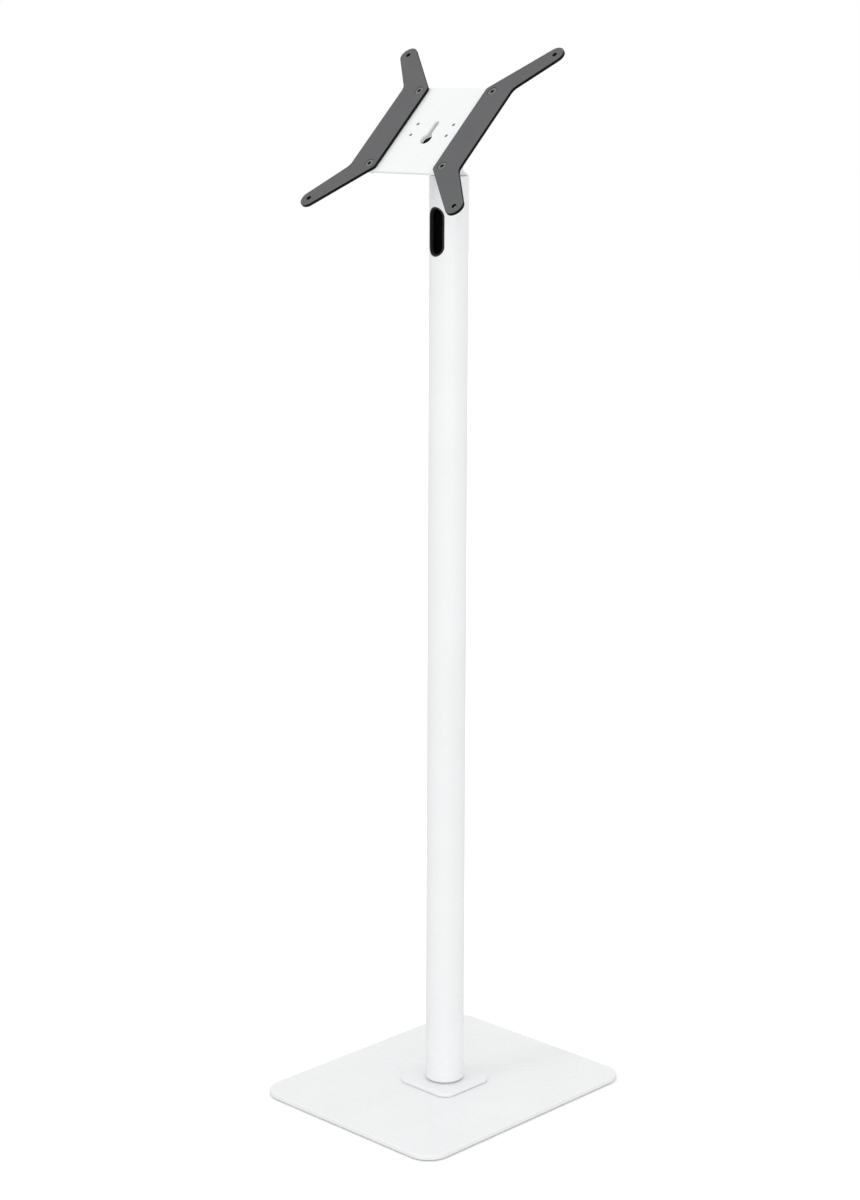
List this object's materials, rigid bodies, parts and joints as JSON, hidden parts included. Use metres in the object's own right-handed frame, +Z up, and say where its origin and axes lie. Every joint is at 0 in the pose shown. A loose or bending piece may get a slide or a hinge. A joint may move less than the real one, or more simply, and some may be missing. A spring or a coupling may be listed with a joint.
{
  "type": "customer pole display stand",
  "caption": "Floor or counter pole stand that holds a customer-facing display on a tilting, swivelling plate with two splayed adapter arms.",
  "frame": {"origin": "on the floor under the axis of the pole, which is the middle of the base plate", "axes": "+Z up along the pole, -Y towards the user that the tilted plate faces, +X to that user's right"},
  "size_m": [0.249, 0.3046, 1.0904],
  "materials": {
    "white_powder": "satin white powder coat",
    "dark_powder": "fine-textured dark grey powder coat",
    "white_casting": "white painted aluminium casting",
    "black_steel": "black oxide",
    "zinc_steel": "bright zinc plate",
    "rubber": "matt black rubber",
    "plastic": "black acetal"
  },
  "bodies": {
    "stand": {"base_plate": "white_powder", "base_pad_front_left": "rubber", "base_pad_front_right": "rubber", "base_pad_rear_left": "rubber", "base_pad_rear_right": "rubber", "foot_plate": "white_powder", "foot_screw_1": "zinc_steel", "foot_screw_2": "zinc_steel", "foot_screw_3": "zinc_steel", "foot_screw_4": "zinc_steel", "base_bolt": "zinc_steel", "pole_seal_ring": "rubber", "pole_base_plug": "zinc_steel", "pole_tube": "white_powder", "cable_grommet_top": "rubber", "cable_grommet_bottom": "rubber", "head_bush": "plastic", "swivel_lock_screw": "black_steel"},
    "head": {"head_yoke": "white_casting", "friction_washer_left": "plastic", "friction_washer_right": "plastic", "pivot_washer_left": "zinc_steel", "pivot_washer_right": "zinc_steel", "pivot_bolt": "zinc_steel", "pivot_nut": "zinc_steel"},
    "display_mount": {"tilt_knuckle": "white_casting", "vesa_plate": "white_powder", "arm_left": "dark_powder", "arm_right": "dark_powder", "arm_screw_1": "dark_powder", "arm_screw_2": "dark_powder", "arm_screw_3": "dark_powder", "arm_screw_4": "dark_powder", "arm_nut_1": "zinc_steel", "arm_nut_2": "zinc_steel", "arm_nut_3": "zinc_steel", "arm_nut_4": "zinc_steel", "flange_screw_1": "black_steel", "flange_screw_2": "black_steel", "flange_screw_3": "black_steel", "flange_screw_4": "black_steel"}
  },
  "joints": [
    {"name": "swivel", "type": "hinge", "parent": "stand", "child": "head", "pos_m": [0, 0, 0.965], "axis": [0, 0, 1], "range_deg": [-90, 90]},
    {"name": "tilt", "type": "hinge", "parent": "head", "child": "display_mount", "pos_m": [0, -0.0064, 0.9918], "axis": [1, 0, 0], "range_deg": [-45, 45]}
  ]
}
